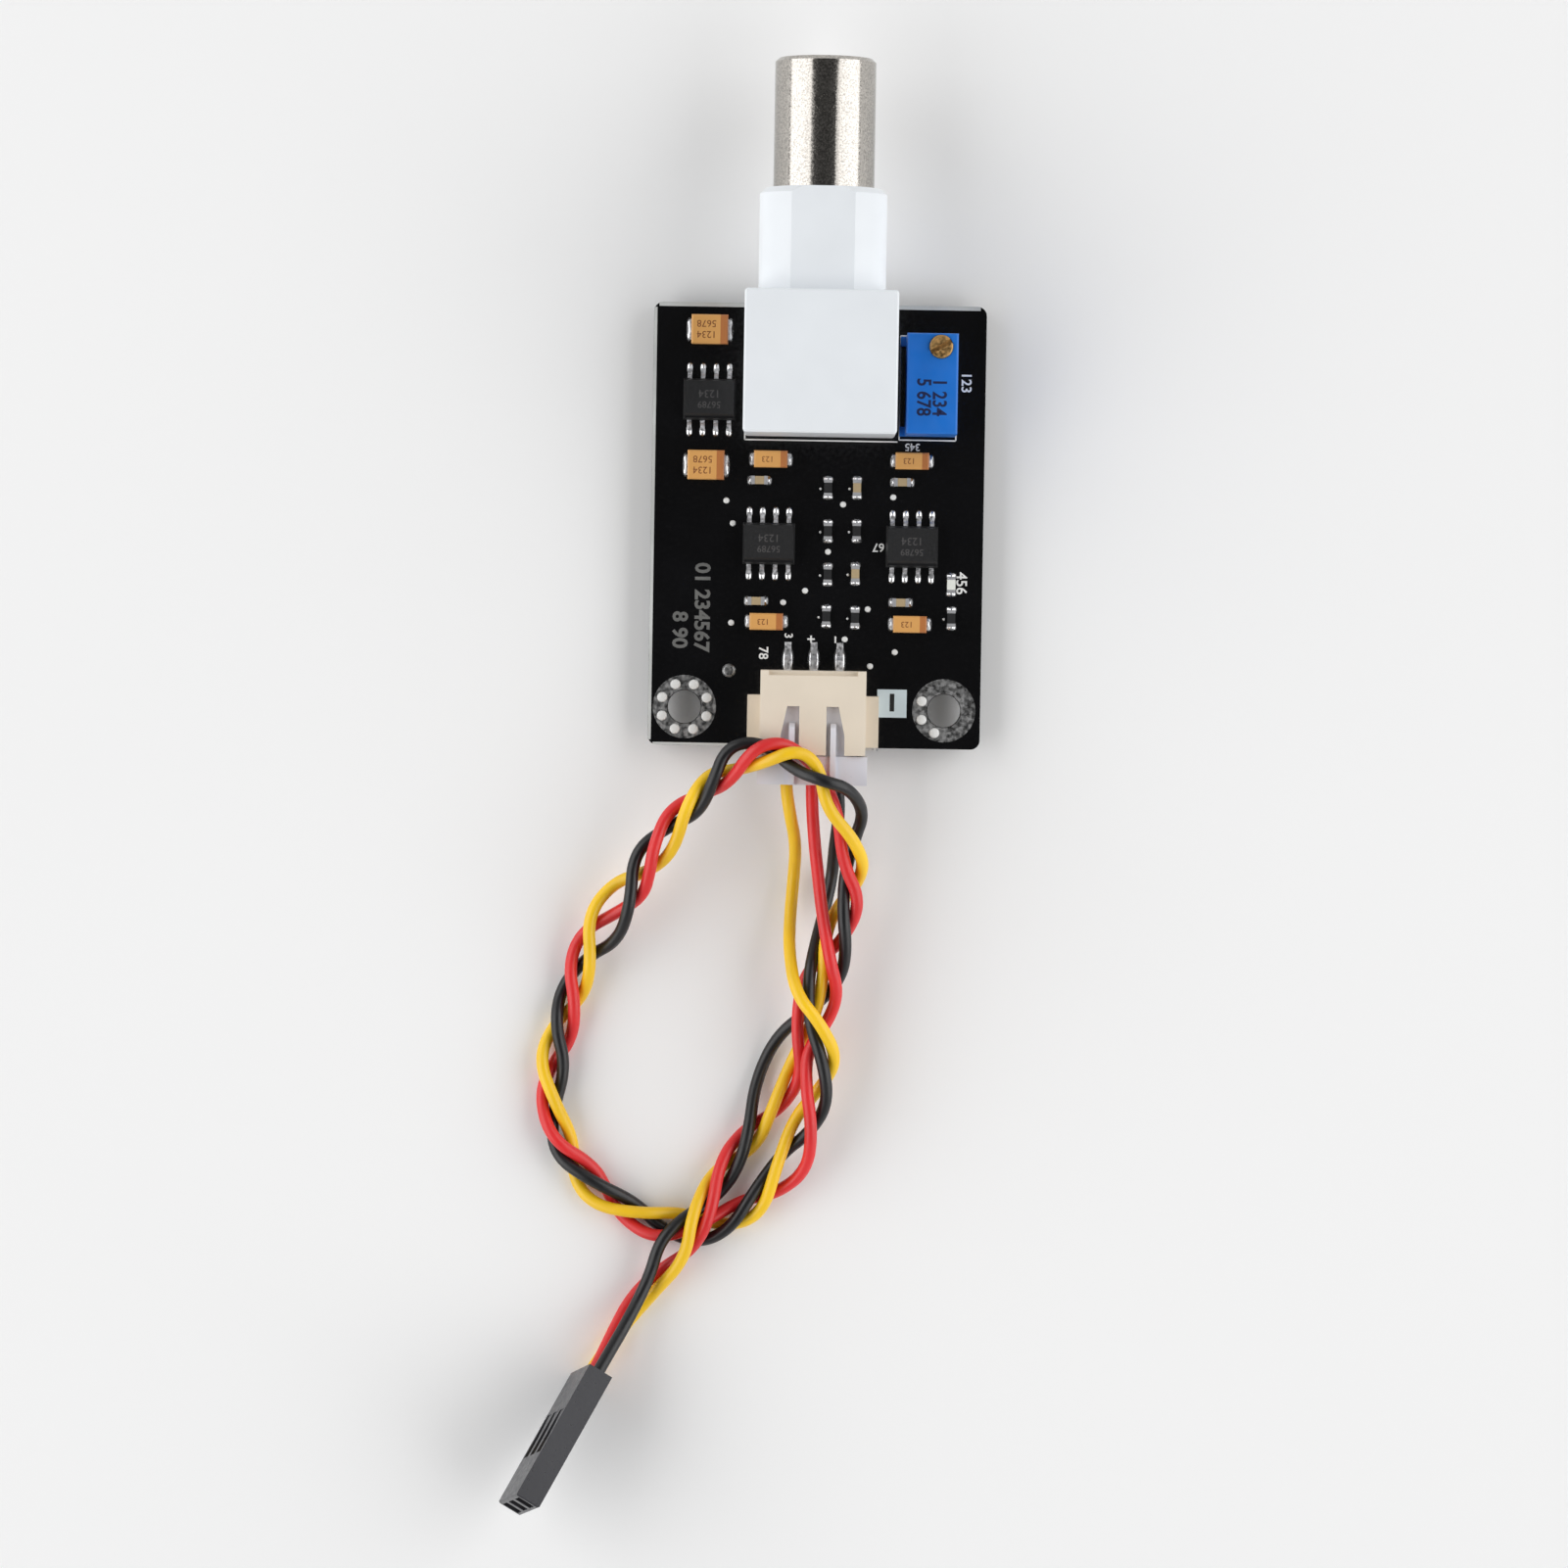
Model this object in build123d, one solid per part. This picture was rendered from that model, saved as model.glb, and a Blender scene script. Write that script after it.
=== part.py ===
from build123d import *
from math import atan2, cos, degrees, hypot, pi, radians, sin, tan
import os

os.makedirs("parts", exist_ok=True)

# Interface board for a glass measuring probe, in millimetres.
# The probe screws on at +Y, the cable leaves at -Y, and the lowest pin tails stand at Z = 0.

# Circuit board
board_width = 32.0
board_length = 42.6
board_thickness = 1.6
board_corner = 0.9
pin_tail = 1.6
hole_spacing = 25.0
hole_radius = 1.6
hole_edge = 3.7
drill_clearance = 0.1
drawn_field = 22.45
drawn_front = -13.9

# Coaxial probe socket
socket_x = 0.1
block_width = 14.5
block_depth = 13.5
block_height = 14.4
block_overhang = 0.75
block_edge = 0.35
axis_height = 7.4
collar_radius = 6.05
collar_length = 9.8
collar_flat = 5.25
collar_chamfer = 0.55
barrel_radius = 4.8
barrel_bore = 4.06
barrel_reach = 12.3
contact_room = 6.0
barrel_rim = 0.35
lug_radius = 1.0
lug_reach = 5.5
lug_from_tip = 4.3
sleeve_radius = 2.4
sleeve_recess = 5.2
flange_length = 6.0
contact_radius = 1.0
contact_bore = 0.68
contact_slot = 0.3
contact_slot_length = 4.0
contact_size = 0.64
post_radius = 0.9
post_spacing = 10.16
post_inset = 6.2
signal_from_front = 2.2
ground_offset = 2.54

# Multi-turn trimmer
trimmer_x = 10.68
trimmer_from_edge = 7.8
trimmer_front_gap = 0.185
case_width = 4.83
case_length = 9.53
case_height = 10.03
case_wall = 0.45
case_foot = 0.5
case_edge = 0.2
base_thickness = 0.9
worm_side = 0.78
worm_inset = 1.27
worm_core = 0.45
worm_tip = 0.85
worm_turns = 3.5
wheel_teeth = 30
wheel_pitch_radius = 2.9
wheel_tip = 0.14
wheel_root = 0.25
wheel_width = 1.0
wheel_height = 4.8
head_radius = 1.1
head_rise = 0.35
head_length = 1.3
slot_width = 0.42
slot_depth = 0.5
slot_angle = 30.0
pivot_radius = 0.35
axle_radius = 0.5
running_clearance = 0.04
element_thickness = 0.6
trimmer_pin_radius = 0.25
trimmer_pin_pitch = 2.54

# Small-outline chips
chip_length = 5.0
chip_width = 4.0
chip_span = 6.0
chip_height = 1.6
chip_waist = 0.7
chip_pitch = 1.27

# Fired chips and lamp
fired_length = 1.6
fired_width = 0.8

# Cable header
header_x = -0.1
header_width = 10.1
header_height = 6.1
header_from_edge = 7.4
header_overhang = 0.65
header_floor = 0.8
header_roof = 0.75
header_side = 0.7
header_back = 1.0
tab_thickness = 0.3
tab_length = 3.0
tab_height = 1.6
wing_width = 12.6
wing_height = 3.4
wing_depth = 4.9
wing_inset = 0.1
slot_depth_in_roof = 4.65
slot_narrow = 1.15
slot_taper = 2.8
slot_flare = 0.6
tongue_width = 2.6
pin_pitch = 2.5
pin_size = 0.64
pin_height = 3.1
pin_toe = 2.7
plug_clearance = 0.1

# Cable plug, wires and jumper housing
plug_reach = 2.85
plug_flange_width = 10.5
plug_flange_height = 5.2
plug_rib = 0.55
rib_length = 5.9
cavity_size = 1.7
plug_box = 5.4
plug_crimp = 2.2
wire_diameter = 1.2
crimp_wall = 0.2
jumper_pitch = 2.54
jumper_length = 14.6
jumper_x = -20.45
jumper_y = -80.75
jumper_heading = -119.0
jumper_pitch_up = 20.0
jumper_lean = 7.0
jumper_hole = 1.7
window_start = 4.9
window_length = 4.8
jumper_inset = 1.4
jumper_box = 8.0
jumper_crimp = 2.6
jumper_pin_room = 0.76

# Places along the board are measured from its middle; the socket, the trimmer and the supply column
# hang on the rear edge, the header on the front edge, and the rows between share the field that is left
rear_line = board_length / 2
front_line = -board_length / 2
header_front = front_line - header_overhang
header_rear = front_line + header_from_edge
wing_front = front_line + wing_inset
wing_rear = wing_front + wing_depth
slot_end = header_front + slot_depth_in_roof
trimmer_y = rear_line - trimmer_from_edge
rear_edge = rear_line + block_overhang + collar_length + barrel_reach
board_y = -(header_front + rear_edge) / 2
board_top = pin_tail + board_thickness
block_front = rear_line + block_overhang - block_depth
trimmer_front = trimmer_y - case_length / 2
field = min(block_front, trimmer_front - trimmer_front_gap) - header_rear


def row(y):
    """A row's place along the board, from its place in a field of the drawn length."""
    return header_rear + (y - drawn_front) * field / drawn_field


def on_board(x, y, z=0.0):
    """A place measured from the middle of the board's upper face."""
    return Pos(x, y + board_y, board_top + z)


def save(shape, name):
    export_step(shape, f"parts/{name}.step")


def block(x0, x1, y0, y1, z0, z1):
    return Pos((x0 + x1) / 2, (y0 + y1) / 2, (z0 + z1) / 2) * Box(x1 - x0, y1 - y0, z1 - z0)


def rod(radius, z0, z1):
    return Pos(0, 0, (z0 + z1) / 2) * Cylinder(radius, z1 - z0)


def prism(radius, z0, z1, sides=12):
    """An upright prism whose flats touch a circle of this radius, for small round pins and holes."""
    outline = RegularPolygon(radius, sides, major_radius=False, rotation=180 / sides)
    return Pos(0, 0, z0) * extrude(outline, z1 - z0)


def polygon_solid(points, plane, thickness):
    """A closed outline on a plane, thickened evenly to both sides."""
    return extrude(make_face(plane * Polyline(*points, close=True)), thickness / 2, both=True)


def bent_strip(inner, shoulder, heel, toe, height, thickness, width):
    """A gull-wing lead that runs outward along +Y from a body."""
    slant = thickness * 0.7
    outline = [
        (inner, height + thickness),
        (shoulder + slant, height + thickness),
        (heel + slant, thickness),
        (toe, thickness),
        (toe, 0),
        (heel, 0),
        (shoulder, height),
        (inner, height),
    ]
    return polygon_solid(outline, Plane.YZ, width)


# Board with its mounting holes and the holes for every pin that passes through it
hole_y = -board_length / 2 + hole_edge
socket_rear = board_length / 2 + block_overhang
post_places = [(socket_x + side * post_spacing / 2, socket_rear - post_inset) for side in (-1, 1)]
signal_place = (socket_x, block_front + signal_from_front)
ground_place = (socket_x + ground_offset, block_front + signal_from_front + ground_offset)
trimmer_pin_x = trimmer_x - case_width / 2 + case_wall + element_thickness / 2 + 0.05
trimmer_pin_places = [(trimmer_pin_x, trimmer_y + n * trimmer_pin_pitch) for n in (-1, 0, 1)]

board = on_board(0, 0, -board_thickness / 2) * Box(board_width, board_length, board_thickness)
board = fillet(board.edges().filter_by(Axis.Z), board_corner)
for side in (-1, 1):
    board -= on_board(side * hole_spacing / 2, hole_y, -board_thickness / 2) * Cylinder(
        hole_radius, board_thickness * 2
    )
drilled = [(place, post_radius) for place in post_places]
drilled += [(signal_place, contact_size * 0.71), (ground_place, contact_size * 0.71)]
drilled += [(place, trimmer_pin_radius) for place in trimmer_pin_places]
for (x, y), radius in drilled:
    board -= on_board(x, y) * prism(radius + drill_clearance, -board_thickness * 1.5, board_thickness)
save(board, "circuit_board")

# Solder cones that hold those pins on the underside
cones = []
for (x, y), radius in drilled:
    rim = Plane.XY.offset(-board_thickness) * RegularPolygon(radius + 0.6, 12)
    neck = Plane.XY.offset(-board_thickness - 0.7) * RegularPolygon(radius + 0.15, 12)
    cone = loft([neck, rim]) - prism(radius, -board_thickness - 1, -board_thickness + 0.1)
    cones.append(on_board(x, y) * cone)
save(Compound(cones), "solder_joints")

# Moulded socket body: square block, threaded collar with two flats, and a bored seat for the barrel
block_y = socket_rear - block_depth / 2
collar_end = block_depth / 2 + collar_length
body = Pos(0, 0, block_height / 2) * Box(block_width, block_depth, block_height)
body = fillet(body.edges().filter_by(Axis.Z), block_edge)
body = chamfer(body.edges().group_by(Axis.Z)[-1], block_edge / 2)
collar = Pos(0, block_depth / 2 + collar_length / 2, 0) * Rot(-90, 0, 0) * Cylinder(
    collar_radius, collar_length
)
collar = chamfer(collar.edges().group_by(Axis.Y)[-1], collar_chamfer)
flats = Box(collar_radius * 2, collar_length * 4, collar_flat * 2)
body += Pos(0, 0, axis_height) * (collar & flats)
seat_start = contact_room - block_depth / 2
seat_length = collar_end - seat_start
body -= Pos(0, seat_start + seat_length / 2, axis_height) * Rot(-90, 0, 0) * Cylinder(
    barrel_radius, seat_length
)
# Open pocket underneath, where the contacts turn down to the board
pocket_front = -block_depth / 2 + 1.2
body -= block(-3.6, 3.6, pocket_front, seat_start, -0.1, axis_height + 1.6)
for side in (-1, 1):
    body -= Pos(side * post_spacing / 2, block_depth / 2 - post_inset, 0) * prism(post_radius, -0.1, 2.5)
socket = on_board(socket_x, block_y)
save(socket * body, "bnc_housing")

# Nickel barrel with its bayonet lugs
tip = collar_end + barrel_reach
barrel_length = tip - seat_start
barrel = Pos(0, seat_start + barrel_length / 2, 0) * Rot(-90, 0, 0) * Cylinder(
    barrel_radius, barrel_length
)
lug_y = tip - lug_from_tip
for side in (-1, 1):
    lug_middle = side * (barrel_bore + lug_reach) / 2
    lug = Pos(0, lug_y, lug_middle) * Cylinder(lug_radius, lug_reach - barrel_bore)
    barrel += lug
    barrel -= Pos(0, lug_y, side * lug_reach) * prism(lug_radius * 0.5, -0.25, 0.25)
barrel = chamfer(
    barrel.edges().filter_by(GeomType.CIRCLE).group_by(Axis.Y)[-1], barrel_rim
)
barrel -= Pos(0, seat_start + barrel_length / 2, 0) * Rot(-90, 0, 0) * Cylinder(
    barrel_bore, barrel_length + 1
)
save(socket * Pos(0, 0, axis_height) * barrel, "bnc_barrel")

# Insulator: a flange that fills the barrel's rear and a sleeve round the centre contact
sleeve_end = tip - sleeve_recess
insulator = Rot(-90, 0, 0) * rod(barrel_bore, seat_start, seat_start + flange_length)
sleeve_length = sleeve_end - seat_start
insulator += Pos(0, seat_start + sleeve_length / 2, 0) * Rot(-90, 0, 0) * Cylinder(
    sleeve_radius, sleeve_length
)
insulator -= Pos(0, seat_start + sleeve_length / 2, 0) * Rot(-90, 0, 0) * Cylinder(
    contact_radius, sleeve_length + 1
)
save(socket * Pos(0, 0, axis_height) * insulator, "bnc_insulator")

# Centre contact: slotted spring tube in front, a turned-down pin behind
signal_y = signal_from_front - block_depth / 2
tube_end = sleeve_end - 0.4
tube_start = seat_start
contact = Pos(0, (tube_start + tube_end) / 2, 0) * Rot(-90, 0, 0) * Cylinder(
    contact_radius, tube_end - tube_start
)
bore_depth = 6.0
contact -= Pos(0, tube_end - bore_depth / 2, 0) * Rot(-90, 0, 0) * Cylinder(contact_bore, bore_depth)
for turn in (0, 90):
    slit = Rot(0, turn, 0) * Box(contact_slot, contact_slot_length, contact_radius * 3)
    contact -= Pos(0, tube_end - contact_slot_length / 2, 0) * slit
pin_path = FilletPolyline(
    (0, tube_start + 0.5, 0),
    (0, signal_y, 0),
    (0, signal_y, -axis_height - board_top),
    radius=1.2,
)
pin_section = Rectangle(contact_size, contact_size)
contact += sweep(Plane(pin_path @ 0, z_dir=pin_path % 0) * pin_section, path=pin_path)
save(socket * Pos(0, 0, axis_height) * contact, "bnc_center_contact")

# Ground contact: a pin welded to the barrel's rear rim
ground_y = signal_y + ground_offset
rim_radius = (barrel_radius + barrel_bore) / 2
rim_drop = (rim_radius**2 - ground_offset**2) ** 0.5
ground_path = FilletPolyline(
    (ground_offset, seat_start, -rim_drop),
    (ground_offset, ground_y, -rim_drop),
    (ground_offset, ground_y, -axis_height - board_top),
    radius=0.6,
)
ground = sweep(Plane(ground_path @ 0, z_dir=ground_path % 0) * pin_section, path=ground_path)
save(socket * Pos(0, 0, axis_height) * ground, "bnc_ground_contact")

# Two mounting posts pressed into the block; their tips carry the board
posts = [on_board(x, y) * prism(post_radius, -board_top, 2.5) for x, y in post_places]
save(Compound(posts), "bnc_mounting_posts")

# Trimmer case, open below, with the screw hole and the wheel's blind bearing
trimmer = on_board(trimmer_x, trimmer_y)
half_w = case_width / 2
half_l = case_length / 2
worm_y = half_l - worm_inset
wheel_y = worm_y - (worm_core + worm_tip) / 2 - wheel_pitch_radius
case = Pos(0, 0, case_height / 2) * Box(case_width, case_length, case_height)
case = fillet(case.edges().group_by(Axis.Z)[-1], case_edge)
inner_w = half_w - case_wall
inner_l = half_l - case_wall
case -= block(-inner_w, inner_w, -inner_l, inner_l, -1, case_height - case_wall)
case -= Pos(worm_side, worm_y, 0) * rod(head_radius + running_clearance, 0, case_height + 1)
collar_ring = Pos(worm_side, worm_y, 0) * (
    rod(head_radius + 0.35, case_height - 1.6, case_height - case_wall / 2)
    - rod(head_radius + running_clearance, 0, case_height + 1)
)
case += collar_ring & block(-half_w, half_w, -half_l, half_l, 0, case_height)
case -= Pos(inner_w + 0.15, wheel_y, wheel_height) * Rot(0, 90, 0) * Cylinder(
    axle_radius + running_clearance, 0.3
)
for end in (-1, 1):
    foot_y = end * (half_l - 0.45)
    case += block(-half_w - case_foot, -half_w + 0.3, foot_y - 0.45, foot_y + 0.45, 0, 0.9)
save(trimmer * case, "trimmer_case")

# Base plate that closes the case from below
base = block(-inner_w, inner_w, -inner_l, inner_l, 0.1, base_thickness)
base -= Pos(worm_side, worm_y, 0) * rod(pivot_radius + running_clearance, 0.4, 2)
pin_local_x = trimmer_pin_x - trimmer_x
for n in (-1, 0, 1):
    base -= Pos(pin_local_x, n * trimmer_pin_pitch, 0) * prism(trimmer_pin_radius, 0, 2)
save(trimmer * base, "trimmer_base")

# Terminal pins, from the element's lower edge down through the board
trimmer_pin = prism(trimmer_pin_radius, -board_top, base_thickness)
trimmer_pins = [trimmer * Pos(pin_local_x, n * trimmer_pin_pitch, 0) * trimmer_pin for n in (-1, 0, 1)]
save(Compound(trimmer_pins), "trimmer_pins")

# Ceramic element with its open ring track and the axle's hole
element_top = case_height - case_wall - 0.38
element_back = -inner_w + 0.05
track_x = element_back + element_thickness
element = block(element_back, track_x, -inner_l + 0.1, inner_l - 0.1, base_thickness, element_top)
track = Rot(0, 90, 0) * (Cylinder(2.35, 0.05) - Cylinder(1.75, 0.05))
track -= Rot(30, 0, 0) * Pos(0, 0, -2) * Box(1, 4, 4)
element += Pos(track_x + 0.025, wheel_y, wheel_height) * track
axle_hole = Rot(0, 90, 0) * Cylinder(axle_radius + running_clearance, 2)
element -= Pos(track_x, wheel_y, wheel_height) * axle_hole
save(trimmer * element, "trimmer_element")

# Worm screw: slotted head, seal groove, thread and lower pivot
worm_pitch = 2 * pi * wheel_pitch_radius / wheel_teeth
screw_top = case_height + head_rise
head_bottom = screw_top - head_length
seal_section = 0.3
screw = chamfer(rod(head_radius, head_bottom, screw_top).edges().group_by(Axis.Z)[-1], 0.12)
screw += rod(head_radius - seal_section * 1.6, head_bottom - 2 * seal_section - 0.1, head_bottom)
screw += rod(head_radius, head_bottom - 2 * seal_section - 0.4, head_bottom - 2 * seal_section - 0.1)
screw += rod(worm_core, base_thickness + 0.1, head_bottom - 0.8)
screw += rod(pivot_radius, 0.5, base_thickness + 0.1)
screw -= Pos(0, 0, screw_top - slot_depth / 2) * Rot(0, 0, slot_angle) * Box(
    head_radius * 3, slot_width, slot_depth
)
# A crest stands level with the axle where the thread faces the wheel, three quarters round from its start
thread_bottom = wheel_height - (round(worm_turns / 2) - 0.25) * worm_pitch
helix = Helix(worm_pitch, worm_turns * worm_pitch, worm_core - 0.05)
thread_outline = Polyline(
    (worm_core - 0.05, -0.15, 0),
    (worm_tip, -0.06, 0),
    (worm_tip, 0.06, 0),
    (worm_core - 0.05, 0.15, 0),
    close=True,
)
thread_face = make_face(Plane.XZ * thread_outline)
thread = sweep(thread_face, path=helix, is_frenet=True)
screw += Pos(0, 0, thread_bottom) * thread
save(trimmer * Pos(worm_side, worm_y, 0) * screw, "trimmer_screw")

# Rubber ring in the head's groove
seal_z = head_bottom - seal_section
seal = rod(head_radius - 0.05, seal_z - seal_section, seal_z + seal_section)
seal -= rod(head_radius - seal_section * 1.6, 0, case_height)
save(trimmer * Pos(worm_side, worm_y, 0) * seal, "trimmer_seal")

# Worm wheel with its axle
tooth_step = 360 / wheel_teeth
tip_radius = wheel_pitch_radius + wheel_tip
root_radius = wheel_pitch_radius - wheel_root
tooth = make_face(
    Polyline(
        (root_radius - 0.1, -0.17),
        (tip_radius, -0.07),
        (tip_radius, 0.07),
        (root_radius - 0.1, 0.17),
        close=True,
    )
)
wheel_face = Circle(root_radius).face()
for n in range(wheel_teeth):
    wheel_face += Rot(0, 0, (n + 0.5) * tooth_step) * tooth
wheel = extrude(wheel_face, wheel_width / 2, both=True)
wheel += rod(axle_radius, -worm_side - inner_w + 0.2, inner_w - worm_side + 0.25)
to_wheel = Pos(worm_side, wheel_y, wheel_height) * Rot(0, 90, 0) * Rot(0, 0, 90)
save(trimmer * to_wheel * wheel, "trimmer_rotor")

# Wiper spring: a washer on the wheel and a bent arm that rides on the track
washer_z = -wheel_width / 2 - 0.1
wiper = Pos(0, 0, washer_z) * (Cylinder(1.1, 0.2) - Cylinder(axle_radius, 0.2))
track_gap = worm_side - track_x - 0.05
arm = Polyline(
    (0.9, washer_z + 0.1),
    (1.3, washer_z + 0.1),
    (2.2, -track_gap + 0.17),
    (2.05, -track_gap + 0.02),
    (1.25, washer_z - 0.1),
    (0.9, washer_z - 0.1),
    close=True,
)
wiper += extrude(make_face(Plane.XZ * arm), 0.3, both=True)
save(trimmer * to_wheel * wiper, "trimmer_wiper")

# Header housing: five walls, two latch slots in the roof, a relieved rear edge and side wings
hw = header_width / 2
header = block(-hw, hw, header_front, header_rear, 0, header_height)
header += block(-wing_width / 2, wing_width / 2, wing_front, wing_rear, 0, wing_height)
cavity_back = header_rear - header_back
cavity_half = hw - header_side
roof_bottom = header_height - header_roof
header -= block(-cavity_half, cavity_half, header_front - 1, cavity_back, header_floor, roof_bottom)
relief_bottom = header_height - 0.8
header -= block(-hw + 0.8, hw - 0.8, header_rear - 0.45, header_rear + 1, relief_bottom, header_height + 1)
for side in (-1, 1):
    inner_edge = side * tongue_width / 2
    slot_outline = [
        (inner_edge, slot_end),
        (inner_edge + side * slot_narrow, slot_end),
        (inner_edge + side * (slot_narrow + slot_flare), slot_end - slot_taper),
        (inner_edge + side * (slot_narrow + slot_flare), header_front - 1),
        (inner_edge, header_front - 1),
    ]
    slot = extrude(make_face(Polyline(*slot_outline, close=True)), header_roof + 1)
    header -= Pos(0, 0, roof_bottom - 0.1) * slot
pin_offsets = [n * pin_pitch for n in (-1, 0, 1)]
for x in pin_offsets:
    header -= Pos(x, header_rear, pin_height) * Box(pin_size, header_back * 3, pin_size)
tab_half = (wing_width / 2 - hw) / 2
for side in (-1, 1):
    x = side * (hw + tab_half)
    header -= block(x - tab_half, x + tab_half, wing_front - 1, wing_front + tab_length, -1, tab_thickness)
save(on_board(header_x, 0) * header, "header_housing")

# Three formed header pins and the two solder tabs under the wings
mating_tip = header_front + 1.6
pin_bottom = pin_height - pin_size / 2
header_pins = []
for x in pin_offsets:
    straight = Pos(0, (mating_tip + header_rear + 0.4) / 2, pin_height) * Box(
        pin_size, header_rear + 0.4 - mating_tip, pin_size
    )
    straight = chamfer(straight.edges().group_by(Axis.Y)[0], 0.15)
    foot = Pos(0, header_rear, 0) * bent_strip(0.4, 0.55, 0.9, pin_toe, pin_bottom, pin_size, pin_size)
    header_pins.append(on_board(header_x + x, 0) * (straight + foot))
save(Compound(header_pins), "header_pins")
tabs = []
for side in (-1, 1):
    x = side * (hw + tab_half)
    tab = block(x - tab_half, x + tab_half, wing_front, wing_front + tab_length, 0, tab_thickness)
    tab += block(x - tab_half, x + tab_half, wing_front - tab_thickness, wing_front, 0, tab_height)
    tabs.append(on_board(header_x, 0) * tab)
save(Compound(tabs), "header_solder_tabs")


# Small-outline chips
def chip_body(x, y):
    waist = Plane.XY.offset(chip_waist) * Rectangle(chip_length, chip_width)
    body = loft([Plane.XY.offset(0.1) * Rectangle(chip_length - 0.1, chip_width - 0.1), waist])
    body += loft([waist, Plane.XY.offset(chip_height) * Rectangle(chip_length - 0.3, chip_width - 0.45)])
    bevel = Pos(0, -chip_width / 2 + 0.32, chip_height) * Rot(45, 0, 0) * Box(chip_length + 1, 0.42, 0.42)
    return on_board(x, y) * (body - bevel)


def chip_leads(x, y):
    leads = []
    for turn in (0, 180):
        for n in (-1.5, -0.5, 0.5, 1.5):
            lead = bent_strip(
                chip_width / 2, chip_width / 2 + 0.1, chip_span / 2 - 0.65, chip_span / 2, 0.65, 0.2, 0.42
            )
            leads.append(on_board(x, y) * Rot(0, 0, turn) * Pos(n * chip_pitch, 0, 0) * lead)
    return Compound(leads)


chips = {
    "supply_chip": (-10.55, rear_line - 9.33),
    "left_amplifier": (-4.61, row(-1.78)),
    "right_amplifier": (9.16, row(-1.88)),
}
for name, (x, y) in chips.items():
    save(chip_body(x, y), f"{name}_body")
    save(chip_leads(x, y), f"{name}_leads")


# Moulded tantalum capacitors with wrap-round terminals
def tantalum(x, y, length, width, height):
    strip = 0.12
    standoff = 0.1
    body = Pos(0, 0, (standoff + height) / 2) * Box(length, width, height - standoff)
    body = chamfer(body.edges().group_by(Axis.Z)[-1], 0.12)
    grip = width * 0.7
    ends = []
    for side in (-1, 1):
        face = side * length / 2
        upright = Pos(face + side * strip / 2, 0, height * 0.275) * Box(strip, grip, height * 0.55)
        foot = Pos(face - side * 0.4, 0, standoff / 2) * Box(0.8, grip, standoff)
        ends.append(on_board(x, y) * (upright + foot))
    return on_board(x, y) * body, Compound(ends)


large_case = (3.5, 2.8, 1.9)
small_case = (3.2, 1.6, 1.6)
tantalums = [
    (-10.6, rear_line - 2.62, large_case),
    (-10.77, rear_line - 15.62, large_case),
    (-4.55, row(6.34), small_case),
    (-4.73, row(-9.28), small_case),
    (9.04, row(6.37), small_case),
    (9.08, row(-9.32), small_case),
]
for n, (x, y, size) in enumerate(tantalums, 1):
    body, ends = tantalum(x, y, *size)
    save(body, f"tantalum_capacitor_{n}_body")
    save(ends, f"tantalum_capacitor_{n}_terminals")


# Small fired chips: a block between two plated ends
def fired_chip(x, y, upright, height, end_length):
    body = Pos(0, 0, height / 2) * Box(fired_length - 2 * end_length, fired_width - 0.04, height - 0.04)
    for side in (-1, 1):
        end_x = side * (fired_length - end_length) / 2
        body += Pos(end_x, 0, height / 2) * Box(end_length, fired_width, height)
    return on_board(x, y) * Rot(0, 0, 90 if upright else 0) * body


ceramic_capacitors = [
    (-5.61, 4.31, False),
    (-5.75, -7.31, False),
    (8.13, 4.32, False),
    (8.17, -7.25, False),
    (3.79, 3.72, True),
    (3.76, -4.55, True),
]
for n, (x, y, upright) in enumerate(ceramic_capacitors, 1):
    save(fired_chip(x, row(y), upright, 0.8, 0.35), f"ceramic_capacitor_{n}")
resistors = [
    (1.0, 3.68),
    (1.05, -0.49),
    (3.82, -0.44),
    (1.1, -4.66),
    (1.03, -8.69),
    (3.8, -8.78),
    (13.07, -8.69),
]
for n, (x, y) in enumerate(resistors, 1):
    save(fired_chip(x, row(y), True, 0.5, 0.3), f"resistor_{n}")
lamp = Pos(0, 0, 0.15) * Box(fired_width, fired_length, 0.3)
lamp += Pos(0, 0, 0.45) * Box(fired_width, fired_length - 0.5, 0.5)
save(on_board(13.01, row(-5.45)) * lamp, "power_led")

# Plug: a slim nose in the header, a wider tail outside it, two latch ribs and three cavities
nose_half = hw - header_side - plug_clearance
nose_bottom = header_floor + plug_clearance
nose_top = header_height - header_roof - plug_clearance
nose_end = cavity_back - 0.4
tail_front = header_front - plug_clearance
tail_end = header_front - plug_reach
plug = block(-nose_half, nose_half, tail_end, nose_end, nose_bottom, nose_top)
flange_half = plug_flange_width / 2
flange_bottom = nose_bottom - 0.5
flange_top = flange_bottom + plug_flange_height
plug += block(-flange_half, flange_half, tail_end, tail_front, flange_bottom, flange_top)
for side in (-1, 1):
    rib_x = side * (tongue_width / 2 + slot_narrow / 2 + 0.1)
    rib_left = rib_x - plug_rib / 2
    rib = block(
        rib_left, rib_left + plug_rib, tail_end, tail_end + rib_length, nose_top - 0.2, header_height - 0.1
    )
    plug += chamfer(rib.edges().group_by(Axis.Y)[-1].group_by(Axis.Z)[-1], 0.5)
for x in pin_offsets:
    plug -= Pos(x, (nose_end + tail_end) / 2, pin_height) * Box(cavity_size, 20, cavity_size)
save(on_board(header_x, 0) * plug, "plug_housing")


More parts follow.
